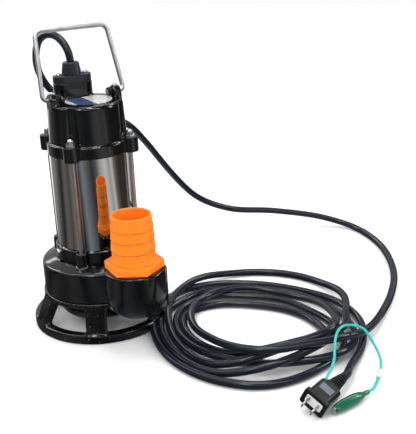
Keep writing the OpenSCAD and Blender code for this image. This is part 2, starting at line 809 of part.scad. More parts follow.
module lead_sleeve() {
    color([0.95, 0.95, 0.95]) tube([[200.5, -340.2, 3.1], [187.5, -350.8, 3.1]], 3, 12);
}

// Local +X runs from the jaws' tip to the lead
module at_clip() {
    translate(clip_at) rotate([0, 0, clip_turn]) children();
}

module clip_boot() {
    color([0, 0.4, 0.25]) at_clip() difference() {
        rotate([0, 90, 0]) rotate_extrude($fn = fine) polygon([
            [0, 3], [4.6, 3], [5.6, 10], [6.4, 20], [6.4, 34], [4.4, 45], [3, 48], [2.6, 56],
            [0, 56]]);
        rotate([0, 90, 0]) rotate_extrude($fn = fine) polygon([
            [0, 2], [4, 2], [4.9, 10], [5.6, 20], [5.6, 34], [3.6, 43], [0, 43]]);
        translate([2, -3.6, 0]) cube([18, 7.2, 8]);
    }
}

// Half of the clip: a plate with a toothed nose and two cheeks that hold the pin
module clip_jaw(cheek_y, cheek_t) {
    difference() {
        union() {
            translate([0, -2.4, 2.2]) cube([38, 4.8, 1]);
            translate([0, -2.4, 0.8]) cube([4, 4.8, 2]);
            for (i = [0 : 3]) translate([i, -2.4, 0.2]) cube([0.5, 4.8, 1]);
            for (s = [-1, 1]) translate([clip_pin_x - 2, s * cheek_y - cheek_t / 2, -1.6])
                cube([4, cheek_t, 4.3]);
        }
        translate([clip_pin_x, -5, 0]) rotate([-90, 0, 0]) cylinder(r = 1.04, h = 10, $fn = small);
    }
}

module clip_lower_jaw() {
    color("silver") at_clip() mirror([0, 0, 1]) clip_jaw(2.1, 0.5);
}

module clip_upper_jaw() {
    color("silver") at_clip() clip_jaw(1.4, 0.5);
}

module clip_pin() {
    color("silver") at_clip() translate([clip_pin_x, -2.6, 0]) rotate([-90, 0, 0])
        cylinder(r = 1, h = 5.2, $fn = small);
}

module clip_spring() {
    color("silver") at_clip() translate([clip_pin_x, 0, 0]) rotate([90, 0, 0]) difference() {
        cylinder(r = 1.8, h = 1.8, center = true, $fn = small);
        cylinder(r = 1.1, h = 4, center = true, $fn = small);
    }
}

stand();
stand_screws();
suction_cover();
volute_casing();
impeller();
impeller_nut();
impeller_key();
mechanical_seal_ring();
mechanical_seal_seat();
oil_seal();
bearing_bracket();
oil_plug();
lower_bearing();
upper_bearing();
upper_bearing_bracket();
shaft();
rotor();
stator_core();
stator_windings();
motor_shell();
shell_o_rings();
top_cover();
tie_rods();
tie_rod_washers();
tie_rod_nuts();
capacitor();
thermal_protector();
nameplate();
cable_bushing();
clamp_plate();
clamp_screws();
cable_boot();
handle();
handle_nuts();
handle_set_screws();
discharge_elbow();
elbow_gasket();
elbow_bolts();
hose_adapter();
adapter_gasket();
cord_run();
cord_coil();
cord_tail();
plug_body();
plug_face();
plug_blades();
plug_strain_relief();
plug_label();
earth_lead();
lead_sleeve();
clip_boot();
clip_lower_jaw();
clip_upper_jaw();
clip_pin();
clip_spring();
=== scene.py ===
"""Submersible sump pump: camera, cords, castings, materials, floor and light.

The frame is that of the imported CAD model: Z up, the pump's axis on Z, the floor at z = 0. Blender
works in metres. Routes and profiles are written in millimetres and scaled by MM.
"""

import json
import math

import bpy
import bmesh
import numpy as np
from mathutils import Matrix, Vector

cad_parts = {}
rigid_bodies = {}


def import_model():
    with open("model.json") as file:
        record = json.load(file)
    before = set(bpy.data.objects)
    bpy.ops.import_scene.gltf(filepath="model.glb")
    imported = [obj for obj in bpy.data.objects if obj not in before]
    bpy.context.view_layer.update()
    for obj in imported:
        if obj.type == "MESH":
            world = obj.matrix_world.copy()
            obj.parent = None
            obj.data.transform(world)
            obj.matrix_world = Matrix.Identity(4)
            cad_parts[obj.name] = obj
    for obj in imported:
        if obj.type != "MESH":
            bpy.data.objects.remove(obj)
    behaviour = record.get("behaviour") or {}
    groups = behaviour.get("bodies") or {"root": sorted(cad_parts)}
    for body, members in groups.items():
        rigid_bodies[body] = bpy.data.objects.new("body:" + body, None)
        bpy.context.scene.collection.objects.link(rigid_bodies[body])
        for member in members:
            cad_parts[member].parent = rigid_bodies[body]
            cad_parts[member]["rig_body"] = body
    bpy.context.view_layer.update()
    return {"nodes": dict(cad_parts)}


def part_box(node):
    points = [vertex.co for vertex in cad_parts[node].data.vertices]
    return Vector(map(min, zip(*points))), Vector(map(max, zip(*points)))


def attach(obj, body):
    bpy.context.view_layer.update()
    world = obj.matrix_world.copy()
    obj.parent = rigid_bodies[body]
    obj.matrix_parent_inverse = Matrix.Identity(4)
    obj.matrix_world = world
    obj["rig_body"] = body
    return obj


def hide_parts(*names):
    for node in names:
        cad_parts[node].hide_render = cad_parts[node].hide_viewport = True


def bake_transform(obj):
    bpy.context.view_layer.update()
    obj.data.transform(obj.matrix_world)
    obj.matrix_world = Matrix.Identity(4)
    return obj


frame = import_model()
NODES = frame["nodes"]
MM = 0.001
IDENTITY = Matrix.Identity(4)


def in_scene(name, data):
    o = bpy.data.objects.new(name, data)
    bpy.context.scene.collection.objects.link(o)
    return o


def evaluated_mesh(o):
    """A copy of the object's mesh with its modifiers or bevel applied."""
    return bpy.data.meshes.new_from_object(o.evaluated_get(bpy.context.evaluated_depsgraph_get()))


# ---------------------------------------------------------------- camera
CAMERA_PLACE = (-0.3856, -0.9562, 0.5077)
CAMERA_RIGHT = (0.8548, -0.5175, -0.0403)
CAMERA_FORWARD = (0.4744, 0.8104, -0.3438)
LENS, SENSOR = 67.13, 36.0      # mm


def make_camera():
    right, forward = Vector(CAMERA_RIGHT).normalized(), Vector(CAMERA_FORWARD).normalized()
    up = right.cross(forward).normalized()
    cam = in_scene("camera", bpy.data.cameras.new("camera"))
    cam.data.lens, cam.data.sensor_width = LENS, SENSOR
    cam.data.clip_start, cam.data.clip_end = 0.05, 30.0
    m = IDENTITY.copy()
    for row in range(3):
        m[row][0], m[row][1], m[row][2] = right[row], up[row], -forward[row]
    m.translation = Vector(CAMERA_PLACE)
    cam.matrix_world = m
    bpy.context.scene.camera = cam


make_camera()


# ---------------------------------------------------------------- cords
CORD_D = 10.0        # mains cord over its sheath
LEAD_D = 3.2         # earth lead over its sheath
STEP = 4.0           # spacing of the mains route's points while it is laid
SPACING = 10.0       # spacing of its points when it is drawn
LEAD_STEP = 3.0      # spacing of the lead's points
TOUCH = 0.96 * CORD_D           # centres of two turns that press against each other
NEIGHBOURS = int(60 / STEP)     # points this close along the cord are not another turn
EASE = 5             # width, in points, of the blur that takes the corners out of the plan
HUMP = 0.0035        # how sharply the cord curves down beside a crossing, per mm
HUMP_REACH = 160     # how far along the cord a crossing lifts it
SETTLED = 45         # last points of the run, which already lie on what is under them

# From the boot, over its own arch, round the back, down to the floor and round to the coil.
RUN = [
    (0, 36.5, 344), (-0.4, 37.6, 352.5), (-1.6, 41.0, 360.6), (-5.8, 52.8, 372.4),
    (-11.5, 69, 376.8), (-17.3, 85.3, 372.4), (-21.4, 96.8, 360.4), (-23, 101.3, 344),
    (-20.5, 105.2, 327), (-13, 108.5, 310), (-2, 110, 295), (20, 111, 280), (60, 112, 256),
    (109, 114, 230),
    (143, 124, 194), (163, 129, 168), (183, 131, 141), (204, 133, 115), (228, 136, 90),
    (256, 137, 70), (302, 133, 49), (370, 116, 36), (443, 84, 19), (476, 50, 8),
    (482, 24, 5), (478, -6, 5), (461, -58, 5), (424, -121, 5), (388, -164, 5),
    (335, -210, 5), (300, -234, 8),
]
# In plan, in along the front of the coil.
ONTO_COIL = [(268, -256), (238, -275), (206, -287), (172, -290)]
# Six loose turns about one centre, laid clockwise from the front: radii every 30 degrees.
COIL_CENTRE = (138, -170)
TURNS = [
    (113, 104, 87, 74, 80, 97, 108, 112, 108, 99, 99, 117),
    (99, 104, 111, 105, 111, 132, 163, 181, 176, 150, 118, 117),
    (90, 79, 76, 80, 91, 106, 90, 70, 68, 74, 86, 110),
    (108, 122, 123, 118, 122, 131, 137, 122, 118, 119, 125, 134),
    (117, 94, 87, 91, 102, 117, 118, 95, 92, 88, 104, 122),
    (130, 141, 134, 129, 132, 149, 158, 140, 131, 138, 142, 143),
]
# Out from under the coil and up into the plug's strain relief.
TO_PLUG = [(198, -299, 5), (181, -311.5, 7), (170.5, -321.5, 9), (160, -331, 12),
           (151, -338, 14.2), (142.1, -342.1, 15.4)]

# From the plug's body, up in an arch and back along the floor to the clip.
LEAD = [
    (109.8, -349.7, 24), (117, -345, 28), (128, -338, 29), (143, -325, 31), (156, -310, 34),
    (167, -298, 37), (181, -286, 38), (194, -280, 38), (202, -282, 38), (209, -288, 37),
    (213, -296, 35), (215, -303, 29), (217, -310, 20), (218, -317, 11), (216, -324, 4),
    (209, -332, 2.5), (202, -339, 3.1), (186, -352, 3.1), (177, -358, 2.5), (168, -364.3, 4),
    (155.7, -369.8, 6.5),
]


def smooth_path(points, step):
    """Points every step along a centripetal Catmull-Rom curve through the given points."""
    p = np.array(points, float)
    p = np.vstack([2 * p[0] - p[1], p, 2 * p[-1] - p[-2]])
    out = []
    fine = 24       # points on each span before they are evened out
    for a, b, c, d in zip(p[:-3], p[1:-2], p[2:-1], p[3:]):
        t = np.cumsum([0.0] + [max(np.linalg.norm(v), 1e-6) ** 0.5 for v in (b - a, c - b, d - c)])
        for x in np.linspace(t[1], t[2], fine, endpoint=False):
            a1 = (t[1] - x) / t[1] * a + x / t[1] * b
            a2 = (t[2] - x) / (t[2] - t[1]) * b + (x - t[1]) / (t[2] - t[1]) * c
            a3 = (t[3] - x) / (t[3] - t[2]) * c + (x - t[2]) / (t[3] - t[2]) * d
            b1 = (t[2] - x) / t[2] * a1 + x / t[2] * a2
            b2 = (t[3] - x) / (t[3] - t[1]) * a2 + (x - t[1]) / (t[3] - t[1]) * a3
            out.append((t[2] - x) / (t[2] - t[1]) * b1 + (x - t[1]) / (t[2] - t[1]) * b2)
    out.append(p[-2])
    return resampled(np.array(out), step)


def resampled(p, step):
    """The same route with its points an even step apart."""
    s = np.concatenate([[0], np.cumsum(np.linalg.norm(np.diff(p, axis=0), axis=1))])
    n = max(2, int(round(s[-1] / step)) + 1)
    t = np.linspace(0, s[-1], n)
    return np.column_stack([np.interp(t, s, p[:, k]) for k in range(p.shape[1])])


def blurred(values, width):
    """Gaussian blur, its width in points; both ends are held."""
    k = np.exp(-0.5 * (np.arange(-3 * width, 3 * width + 1) / width) ** 2)
    k /= k.sum()
    return np.convolve(np.pad(values, 3 * width, mode="edge"), k, mode="valid")


def side_by_side(p, first, last):
    """Pushes turns that run along each other apart in plan, until they lie side by side."""
    i = np.arange(len(p))
    far = np.abs(i[None] - i[:, None]) > NEIGHBOURS
    along_from, along_span = 0.94, 0.06     # cosines: turns nearly along each other, to fully
    for _ in range(60):     # rounds of gentle pushes
        t = np.gradient(p, axis=0)
        t /= np.linalg.norm(t, axis=1)[:, None] + 1e-9
        away = p[:, None] - p[None]
        d = np.linalg.norm(away, axis=2)
        along = np.abs(t @ t.T)
        w = np.where((d < TOUCH) & far & (along > along_from),
                     (TOUCH - d) * (along - along_from) / along_span, 0)
        push = (w[:, :, None] * away / (d[:, :, None] + 1e-6)).sum(1) * 0.12
        push[:first] = 0
        push[last:] = 0
        push = np.column_stack([blurred(push[:, k], EASE) for k in (0, 1)])
        push[:first] = 0
        push[last:] = 0
        p = p + push
    return p


def laid_down(p, known):
    """Heights of the cord's centre: the earlier turn rests on the later one in long low humps."""
    n, radius = len(p), CORD_D / 2
    d = np.linalg.norm(p[:, None] - p[None], axis=2)
    i = np.arange(n)
    over, under = np.nonzero((d < TOUCH) & (i[None] - i[:, None] > NEIGHBOURS))
    lift = np.sqrt(np.maximum(TOUCH ** 2 - d[over, under] ** 2, 0))
    z = np.where(np.isnan(known), radius, known)
    for _ in range(16):     # rounds, as a turn rises with what it lies on
        need = np.full(n, radius)
        np.maximum.at(need, over, z[under] + lift)
        hump = need.copy()
        for k in range(1, int(HUMP_REACH / STEP)):
            drop = HUMP * (k * STEP) ** 2 / 2
            hump[k:] = np.maximum(hump[k:], need[:-k] - drop)
            hump[:-k] = np.maximum(hump[:-k], need[k:] - drop)
        z = np.where(np.isnan(known), np.maximum(blurred(hump, 3), radius), known)
    return z


def mains_route():
    """Boot to plug: the run in the air, six turns laid on each other, and the tail."""
    turns = []
    for turn in TURNS:
        for k, r in enumerate(turn):
            a = math.radians(270 - 30 * k)
            turns.append((COIL_CENTRE[0] + r * math.cos(a), COIL_CENTRE[1] + r * math.sin(a)))
    plan = [q[:2] for q in RUN] + ONTO_COIL + turns + [q[:2] for q in TO_PLUG]
    run = smooth_path(RUN, STEP)
    # the run keeps its own heights until it settles; what follows it is laid down
    rest = smooth_path([q[:2] for q in RUN[-2:]] + plan[len(RUN):], STEP)
    near = int(np.argmin(np.linalg.norm(rest - run[-1, :2], axis=1)))
    plan = np.vstack([run[:, :2], rest[near + 1:]])
    n, first = len(plan), len(run)
    plan = side_by_side(plan, first, n - NEIGHBOURS)
    eased = np.column_stack([blurred(plan[:, k], EASE) for k in (0, 1)])
    i = np.arange(n)
    # eased in full along the coil, fading out over 10 points at the run and 8 at the plug
    share = np.clip((i - first + 14) / 10, 0, 1) * np.clip((n - 4 - i) / 8, 0, 1)
    plan = plan + share[:, None] * (eased - plan)
    known = np.full(n, np.nan)
    lifted = first - SETTLED
    known[:lifted] = run[:lifted, 2]
    end = smooth_path(TO_PLUG[1:], STEP)
    known[-len(end):] = end[:, 2]
    z = laid_down(plan, known)
    z[lifted:] = np.maximum(blurred(z, 4), CORD_D / 2)[lifted:]
    z[-len(end):] = end[:, 2]
    return resampled(np.column_stack([plan, z]), SPACING)


def cord_curve(name, points, diameter):
    data = bpy.data.curves.new(name, "CURVE")
    data.dimensions = "3D"
    data.bevel_depth = 1.0      # times each point's radius, so the box of the curve is the tube's
    data.bevel_resolution = 5
    data.resolution_u = 3
    data.use_fill_caps = True
    spline = data.splines.new("BEZIER")
    spline.bezier_points.add(len(points) - 1)
    for b, q in zip(spline.bezier_points, points):
        b.co = Vector(q) * MM
        b.radius = diameter / 2 * MM
        b.handle_left_type = b.handle_right_type = "AUTO"
    o = in_scene(name, data)
    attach(o, "pump")
    return o


mains_points = mains_route()
mains = cord_curve("mains_cord", mains_points, CORD_D)
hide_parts("cord_run", "cord_coil", "cord_tail")
lead_points = smooth_path(LEAD, LEAD_STEP)
lead = cord_curve("earth_lead_wire", lead_points, LEAD_D)
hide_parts("earth_lead")


# ---------------------------------------------------------------- materials
# The room that polished surfaces see: the share of a full turn from -X through -Y, +X, +Y and
# back, the grey level there (halved in use) and its warmth.
BANDS = [
    (0.0, 0.10, 0.6), (0.034, 0.30, 0.5), (0.05, 0.22, 0), (0.067, 0.01, 0), (0.08, 0.12, -1),
    (0.10, 0.30, -1), (0.134, 0.15, 0), (0.167, 0.05, -1), (0.20, 0.16, -0.5), (0.233, 0.62, 0),
    (0.266, 0.85, 0), (0.30, 0.52, 0), (0.325, 0.80, 0), (0.345, 0.25, 1), (0.366, 0.12, 1.5),
    (0.40, 0.045, 1.5), (0.465, 0.05, 0), (0.498, 0.035, 0), (0.515, 0.10, 0), (0.531, 0.60, 0),
    (0.565, 0.85, 0), (0.60, 0.22, 0), (0.665, 0.13, 0), (0.69, 1.3, 0), (0.735, 1.3, 0),
    (0.80, 1.6, 0), (0.822, 0.35, 0.5), (0.868, 0.30, 0), (0.90, 0.14, 0), (0.935, 0.03, 0),
    (0.968, 0.18, 0.6), (1.0, 0.10, 0.6),
]


class Wiring:
    """Short names for making and joining the nodes of one tree."""

    def __init__(self, tree):
        self.tree = tree

    def node(self, kind, **settings):
        n = self.tree.nodes.new(kind)
        for key, value in settings.items():
            setattr(n, key, value)
        return n

    def link(self, a, b):
        self.tree.links.new(a, b)
        return b

    def ramp(self, value, *stops):
        n = self.node("ShaderNodeValToRGB")
        r = n.color_ramp
        while len(r.elements) < len(stops):
            r.elements.new(0.5)
        for e, (at, colour) in zip(r.elements, stops):
            e.position = at
            e.color = (*colour, 1.0)
        self.link(value, n.inputs["Fac"])
        return n.outputs["Color"]

    def span(self, value, lo, hi, a=0.0, b=1.0, smooth=False):
        n = self.node("ShaderNodeMapRange")
        if smooth:
            n.interpolation_type = "SMOOTHSTEP"
        for key, v in (("From Min", lo), ("From Max", hi), ("To Min", a), ("To Max", b)):
            n.inputs[key].default_value = v
        self.link(value, n.inputs["Value"])
        return n.outputs["Result"]

    def maths(self, operation, a, b=0):
        n = self.node("ShaderNodeMath", operation=operation)
        for k, v in enumerate((a, b)):
            if isinstance(v, (int, float)):
                n.inputs[k].default_value = v
            else:
                self.link(v, n.inputs[k])
        return n.outputs["Value"]

    def banded(self, x, y):
        """The banded room in the direction x, y."""
        turn = self.span(self.maths("ARCTAN2", y, x), -math.pi, math.pi)
        stops = [(at, (v / 2 * (1 + 0.14 * warmth), v / 2, v / 2 * (1 - 0.12 * warmth)))
                 for at, v, warmth in BANDS]
        return self.ramp(turn, *stops)

    def glossy_only(self, plain, mirrored, out):
        """Polished surfaces see the second shader, and everything else the first."""
        path, mix = self.node("ShaderNodeLightPath"), self.node("ShaderNodeMixShader")
        self.link(path.outputs["Is Glossy Ray"], mix.inputs["Fac"])
        self.link(plain.outputs[0], mix.inputs[1])
        self.link(mirrored.outputs[0], mix.inputs[2])
        self.link(mix.outputs[0], out.inputs["Surface"])


class Look(Wiring):
    """A node material: textures in object space, in metres, so their detail has a real size."""

    def __init__(self, name, metallic=0.0, **constants):
        self.mat = bpy.data.materials.new("look_" + name)
        self.mat.use_nodes = True
        super().__init__(self.mat.node_tree)
        self.shader = self.tree.nodes["Principled BSDF"]
        self.shader.inputs["Metallic"].default_value = metallic
        for key, value in constants.items():
            self.shader.inputs[key.replace("_", " ")].default_value = value
        self.coord = self.node("ShaderNodeTexCoord")
        self.normal = None

    def place(self, stretch=(1, 1, 1)):
        m = self.node("ShaderNodeMapping")
        m.inputs["Scale"].default_value = stretch
        self.link(self.coord.outputs["Object"], m.inputs["Vector"])
        return m.outputs["Vector"]

    def noise(self, size, detail, stretch=(1, 1, 1)):
        """Soft noise whose lumps are about size metres across."""
        n = self.node("ShaderNodeTexNoise")
        n.inputs["Scale"].default_value = 1.0 / size
        n.inputs["Detail"].default_value = detail
        n.inputs["Roughness"].default_value = 0.5
        self.link(self.place(stretch), n.inputs["Vector"])
        return n.outputs["Fac"]

    def cells(self, size):
        """Distance from the middle of the nearest of many scattered cells."""
        n = self.node("ShaderNodeTexVoronoi")
        n.inputs["Scale"].default_value = 1.0 / size
        self.link(self.place(), n.inputs["Vector"])
        return n.outputs["Distance"]

    def bands(self, size, axis="Z", distortion=0.0):
        """Even stripes, one every size metres."""
        n = self.node("ShaderNodeTexWave", wave_type="BANDS", bands_direction=axis)
        n.inputs["Scale"].default_value = 0.314 / size
        n.inputs["Distortion"].default_value = distortion
        self.link(self.place(), n.inputs["Vector"])
        return n.outputs["Fac"]

    def axis(self, name):
        s = self.node("ShaderNodeSeparateXYZ")
        self.link(self.coord.outputs["Object"], s.inputs["Vector"])
        return s.outputs[name]

    def mix(self, share, a, b):
        n = self.node("ShaderNodeMix", data_type="RGBA")
        self.link(share, n.inputs["Factor"])
        for key, v in (("A", a), ("B", b)):
            socket = [s for s in n.inputs if s.name == key and s.type == "RGBA"][0]
            if isinstance(v, tuple):
                socket.default_value = (*v, 1.0)
            else:
                self.link(v, socket)
        return [s for s in n.outputs if s.type == "RGBA"][0]

    def edges(self, lo, hi):
        """1 on sharp outer edges, where paint wears thin and where a painted highlight stands for
        the light they catch.
        """
        g = self.node("ShaderNodeNewGeometry")
        return self.span(g.outputs["Pointiness"], lo, hi, smooth=True)

    def colour(self, socket):
        self.link(socket, self.shader.inputs["Base Color"])

    def rough(self, value, lo, hi):
        self.link(self.span(value, 0.3, 0.7, lo, hi), self.shader.inputs["Roughness"])

    def bump(self, height, depth):
        """Adds relief about depth metres high."""
        n = self.node("ShaderNodeBump")
        n.inputs["Strength"].default_value = 1.0
        n.inputs["Distance"].default_value = depth
        self.link(height, n.inputs["Height"])
        if self.normal is not None:
            self.link(self.normal, n.inputs["Normal"])
        self.normal = n.outputs["Normal"]
        self.link(self.normal, self.shader.inputs["Normal"])


def enamel(name, specks):
    """Black gloss enamel on a casting: slow waves, edges lightened for wear and as a painted
    highlight; specks add pale grit low down.
    """
    k = Look(name, Specular_IOR_Level=0.6)
    base = k.ramp(k.noise(0.035, 4), (0.3, (0.0016, 0.0018, 0.0022)),
                  (0.75, (0.0045, 0.0048, 0.0056)))
    # lighter sharp edges: partly worn paint, partly a painted highlight standing in for light
    # caught on them
    wear_and_edge_highlight = k.maths("MULTIPLY", k.edges(0.53, 0.62), k.span(k.noise(0.006, 4), 0.45, 0.7))
    base = k.mix(k.maths("MULTIPLY", wear_and_edge_highlight, 0.3), base, (0.07, 0.07, 0.08))
    if specks:
        low = k.span(k.axis("Z"), 0.075, 0.05)
        dot = k.span(k.cells(0.0042), 0.15, 0.09)
        dot = k.maths("MULTIPLY", dot, k.span(k.noise(0.015, 3), 0.46, 0.54))
        base = k.mix(k.maths("MULTIPLY", dot, low), base, (0.24, 0.25, 0.27))
    k.colour(base)
    k.rough(k.noise(0.012, 4), 0.07, 0.15)
    k.bump(k.noise(0.016, 2), 0.0003 if specks else 0.00013)
    k.bump(k.noise(0.0030, 3), 0.00008 if specks else 0.000012)
    return k.mat


def metal(name, tint, lo, hi, grain, stretch=(1, 1, 1), depth=0.000003, spots=0.0):
    """Bare metal, its roughness between lo and hi; spots is how strongly dull spots show."""
    k = Look(name, metallic=1.0)
    a = tuple(0.86 * c for c in tint)
    base = k.ramp(k.noise(0.011, 4, stretch), (0.35, a), (0.65, tint))
    if spots:
        dull = k.span(k.noise(0.0035, 5), 0.56, 0.66)
        base = k.mix(k.maths("MULTIPLY", dull, spots), base, (0.22, 0.20, 0.18))
    k.colour(base)
    k.rough(k.noise(0.004, 4, stretch), lo, hi)
    k.bump(k.noise(grain, 3, stretch), depth)
    return k.mat


def moulded(name, dark, light, lo, hi, **constants):
    """Moulded plastic or rubber: mottled colour, fine spark texture, slow waves."""
    k = Look(name, **constants)
    base = k.ramp(k.noise(0.018, 4), (0.3, dark), (0.7, light))
    k.colour(base)
    k.rough(k.noise(0.006, 3), lo, hi)
    k.bump(k.noise(0.012, 2), 0.00005)
    k.bump(k.noise(0.0008, 3), 0.000006)
    return k.mat


def shell_steel():
    """Thin drawn stainless tube, polished to a mirror, with the draw's long faint ripples."""
    k = Look("stainless_mirror", metallic=1.0)
    k.colour(k.ramp(k.noise(0.03, 3, (1, 1, 0.12)), (0.3, (0.56, 0.55, 0.54)),
                    (0.7, (0.66, 0.655, 0.65))))
    k.rough(k.noise(0.01, 4, (1, 1, 0.06)), 0.015, 0.045)
    k.bump(k.noise(0.022, 2, (1, 1, 0.10)), 0.00012)
    k.bump(k.noise(0.0012, 3, (1, 1, 0.03)), 0.000004)
    return k.mat


def laminations():
    """Stacked sheet steel, with a dark line between the sheets."""
    k = Look("lamination", metallic=0.85)
    sheet = 0.0010
    k.colour(k.ramp(k.bands(sheet), (0.2, (0.06, 0.06, 0.07)), (0.5, (0.34, 0.34, 0.36))))
    k.rough(k.noise(0.004, 3), 0.35, 0.55)
    k.bump(k.bands(sheet), 0.0001)
    return k.mat


def windings():
    """Varnished copper wire, wound aslant."""
    k = Look("copper", metallic=0.7, Coat_Weight=0.4, Coat_Roughness=0.15)
    wire = k.bands(0.0011, "DIAGONAL", 1.5)
    k.colour(k.ramp(wire, (0.15, (0.10, 0.025, 0.010)), (0.6, (0.55, 0.19, 0.075))))
    k.rough(k.noise(0.003, 3), 0.25, 0.45)
    k.bump(wire, 0.00035)
    return k.mat


def sheath():
    """PVC mains sheath: blue-black, slightly glossy, with handling scuffs."""
    k = Look("cord_sheath", Specular_IOR_Level=0.38)
    base = k.ramp(k.noise(0.05, 2), (0.3, (0.0075, 0.0095, 0.016)),
                  (0.7, (0.0095, 0.012, 0.020)))
    scuff = k.span(k.noise(0.004, 6), 0.60, 0.72)
    k.colour(k.mix(k.maths("MULTIPLY", scuff, 0.08), base, (0.05, 0.055, 0.065)))
    k.rough(k.noise(0.02, 3), 0.17, 0.24)
    k.bump(k.noise(0.0009, 3), 0.0000015)
    return k.mat


def rating_plate():
    """A blank plate: a blue field between pale ones, with empty ruled rows on the right."""
    k = Look("label_plate", metallic=0.35)
    lo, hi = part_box("nameplate")
    x = k.span(k.axis("X"), lo.x, hi.x)
    y = k.span(k.axis("Y"), lo.y, hi.y)
    blue = k.maths("MULTIPLY", k.span(x, 0.485, 0.475), k.span(x, 0.10, 0.11))
    pale = k.ramp(k.noise(0.004, 4), (0.3, (0.70, 0.71, 0.72)), (0.7, (0.80, 0.805, 0.81)))
    field = k.mix(blue, pale, (0.06, 0.09, 0.22))
    row = k.span(k.maths("PINGPONG", y, 0.09), 0.012, 0.006)
    row = k.maths("MULTIPLY", row, k.span(x, 0.55, 0.56))
    row = k.maths("MULTIPLY", row, k.span(x, 0.93, 0.92))
    k.colour(k.mix(k.maths("MULTIPLY", row, 0.6), field, (0.05, 0.06, 0.09)))
    k.rough(k.noise(0.004, 4), 0.18, 0.3)
    k.bump(k.noise(0.03, 2), 0.00005)
    k.bump(k.noise(0.002, 3), 0.000003)
    return k.mat


BARBS = (140.2, 154.3, 167.3)   # heights of the feet of the hose tail's barbs


def orange_moulding():
    """Glossy orange moulding: slow waves, fine grain, painted shade in the barbs' grooves."""
    k = Look("orange_plastic", Specular_IOR_Level=0.4)
    base = k.ramp(k.noise(0.02, 2), (0.3, (0.90, 0.195, 0.003)), (0.7, (0.94, 0.215, 0.005)))
    z = k.axis("Z")
    # painted shade: a darker orange line just under each barb's foot stands for the shadow cast
    # there
    for foot in BARBS:
        near = k.maths("ABSOLUTE", k.maths("SUBTRACT", z, (foot - 0.55) * MM))
        barb_shadow = k.span(near, 0.0013, 0.0003, 0.0, 0.55, smooth=True)
        base = k.mix(barb_shadow, base, (0.62, 0.085, 0.001))
    k.colour(base)
    k.rough(k.noise(0.01, 2), 0.26, 0.32)
    k.bump(k.noise(0.03, 2), 0.00003)
    k.bump(k.noise(0.0012, 2), 0.000001)
    return k.mat


NEUTRAL, ALONG_Z = (1, 1, 1), (1, 1, 0.1)
MICRON = 0.000001
METALS = {      # tint, roughness from and to, grain, its stretch and depth, strength of spots
    "cast_iron_raw": ((0.22, 0.21, 0.20), 0.5, 0.7, 0.0015, NEUTRAL, 0.0002, 0.5),
    "stainless_bright": ((0.66, 0.66, 0.67), 0.30, 0.40, 0.0007, NEUTRAL, MICRON),
    "zinc_steel": ((0.64, 0.65, 0.67), 0.30, 0.42, 0.0012, NEUTRAL, MICRON, 0.15),
    "tool_steel": ((0.5, 0.5, 0.51), 0.25, 0.4, 0.0008),
    "can_aluminium": ((0.72, 0.73, 0.74), 0.3, 0.45, 0.001, ALONG_Z),
}
MOULDINGS = {   # darkest and lightest colour, roughness from and to
    "ceramic": ((0.62, 0.60, 0.55), (0.72, 0.70, 0.66), 0.15, 0.3),
    "carbon": ((0.02, 0.02, 0.02), (0.04, 0.04, 0.042), 0.35, 0.5),
    "rubber_black": ((0.007, 0.009, 0.014), (0.012, 0.015, 0.023), 0.30, 0.42),
    "gasket_red": ((0.16, 0.012, 0.010), (0.25, 0.025, 0.02), 0.55, 0.75),
    "plug_black": ((0.0025, 0.003, 0.004), (0.005, 0.0055, 0.007), 0.26, 0.36),
    "plug_white": ((0.62, 0.62, 0.60), (0.74, 0.74, 0.72), 0.3, 0.45),
    "label_grey": ((0.095, 0.11, 0.14), (0.13, 0.15, 0.185), 0.35, 0.5),
    "lead_teal": ((0.012, 0.44, 0.37), (0.02, 0.52, 0.45), 0.28, 0.42),
    "sleeve_white": ((0.62, 0.62, 0.62), (0.70, 0.70, 0.70), 0.4, 0.55),
    "boot_green": ((0.001, 0.085, 0.040), (0.002, 0.125, 0.060), 0.16, 0.22),
    "motor_plastic": ((0.03, 0.03, 0.032), (0.06, 0.06, 0.062), 0.4, 0.55),
}
FINISH = {      # shader inputs that differ from the ordinary moulding's
    "plug_black": {"Specular_IOR_Level": 0.25},
    "boot_green": {"Coat_Weight": 0.3},
}
OTHERS = {
    "cast_iron_black": lambda: enamel("cast_iron_black", False),
    "cast_speckled": lambda: enamel("cast_speckled", True),
    "stainless_mirror": shell_steel,
    "lamination": laminations,
    "copper": windings,
    "orange_plastic": orange_moulding,
    "cord_sheath": sheath,
    "label_plate": rating_plate,
}
made = {}


def look(name):
    """The material of that name, made when it is first asked for."""
    if name not in made:
        if name in METALS:
            made[name] = metal(name, *METALS[name])
        elif name in MOULDINGS:
            made[name] = moulded(name, *MOULDINGS[name], **FINISH.get(name, {}))
        else:
            made[name] = OTHERS[name]()
    return made[name]


def dress(o, name):
    o.data.materials.clear()
    o.data.materials.append(look(name))


for node, o in NODES.items():
    for slot in o.material_slots:
        if slot.material:
            slot.material = look(slot.material.name.split(".")[0])
dress(mains, "cord_sheath")
dress(lead, "lead_teal")


# ---------------------------------------------------------------- rounded castings and mouldings
def softened(node, voxel, passes, keep, material):
    """The node's own shape with its edges rounded as a casting or moulding has them.

    It is rebuilt in voxels, smoothed in that many passes and thinned to the share of faces to keep.
    """
    o = in_scene(node + "_skin", NODES[node].data.copy())
    bpy.context.view_layer.objects.active = o
    m = o.modifiers.new("grain", "REMESH")
    m.mode = "VOXEL"
    m.voxel_size = voxel
    m.adaptivity = 0.0
    m = o.modifiers.new("round", "SMOOTH")
    m.factor = 0.5
    m.iterations = passes
    m = o.modifiers.new("thin", "DECIMATE")
    m.ratio = keep
    mesh = evaluated_mesh(o)
    o.modifiers.clear()
    o.data = mesh
    mesh.shade_smooth()
    mesh.materials.clear()
    mesh.materials.append(look(material))
    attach(o, NODES[node]["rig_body"])
    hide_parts(node)
    return o


